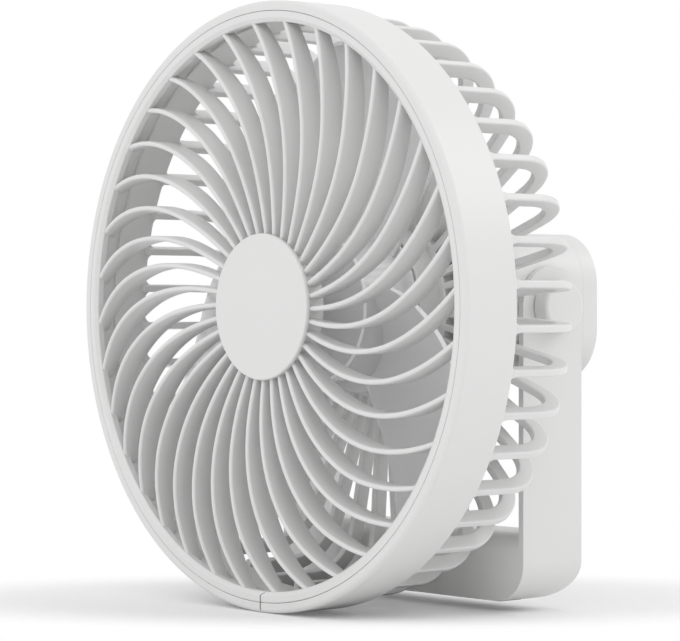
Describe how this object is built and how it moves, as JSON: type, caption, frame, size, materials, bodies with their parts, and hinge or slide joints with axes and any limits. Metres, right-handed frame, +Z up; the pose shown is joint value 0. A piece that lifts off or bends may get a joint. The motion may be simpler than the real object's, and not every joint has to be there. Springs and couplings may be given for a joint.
{
  "type": "portable fan",
  "caption": "Portable battery camping fan: round head with a swirl slat grille, broad outer sleeve and rib cage, rear battery housing, and a U bracket that is foot and hanging handle.",
  "frame": {"origin": "centre of the bounding box's bottom, on the surface that the ring stands on", "axes": "+Y along the fan's axis to the back, -Y the way the air blows, +X to the right seen from the front, +Z up"},
  "size_m": [0.2006, 0.0998, 0.2006],
  "materials": {
    "shell_white": "smooth satin",
    "impeller_white": "slightly glossy, moulded",
    "steel": "plain",
    "magnet_dark": "dull",
    "copper": "enamelled wire",
    "cell_wrap": "shrink-wrapped",
    "inner_plastic": "plain",
    "board_green": "coated circuit board",
    "clear_plastic": "frosted clear",
    "rubber_grey": "soft, dull"
  },
  "bodies": {
    "head": {"outer_sleeve": "shell_white", "front_grille": "shell_white", "hub_cap": "shell_white", "rear_cage": "shell_white", "motor_mount": "shell_white", "stator_core": "steel", "stator_coils": "copper", "rear_housing": "shell_white", "rear_cover": "shell_white", "battery_cells": "cell_wrap", "cell_cradle": "inner_plastic", "control_board": "board_green", "button_switch": "inner_plastic", "charging_port": "steel", "light_window": "clear_plastic", "pivot_stud_right": "shell_white", "pivot_stud_left": "shell_white"},
    "rotor": {"impeller": "impeller_white", "impeller_nut": "steel", "motor_shaft": "steel", "rotor_magnet": "magnet_dark"},
    "bracket": {"bracket": "shell_white", "base_cover": "shell_white", "foot_pads": "rubber_grey"},
    "button": {"power_button": "shell_white"}
  },
  "joints": [
    {"name": "impeller_spin", "type": "hinge", "parent": "head", "child": "rotor", "pos_m": [0, -0.01185, 0.1003], "axis": [0, 1, 0], "continuous": true},
    {"name": "bracket_pivot", "type": "hinge", "parent": "head", "child": "bracket", "pos_m": [0, 0.02545, 0.1003], "axis": [1, 0, 0], "range_deg": [0, 180]},
    {"name": "button_press", "type": "slide", "parent": "head", "child": "button", "axis": [0, -1, 0], "range_m": [0, 0.0008], "stiffness_N_per_m": 900, "springref_m": -0.0005}
  ]
}
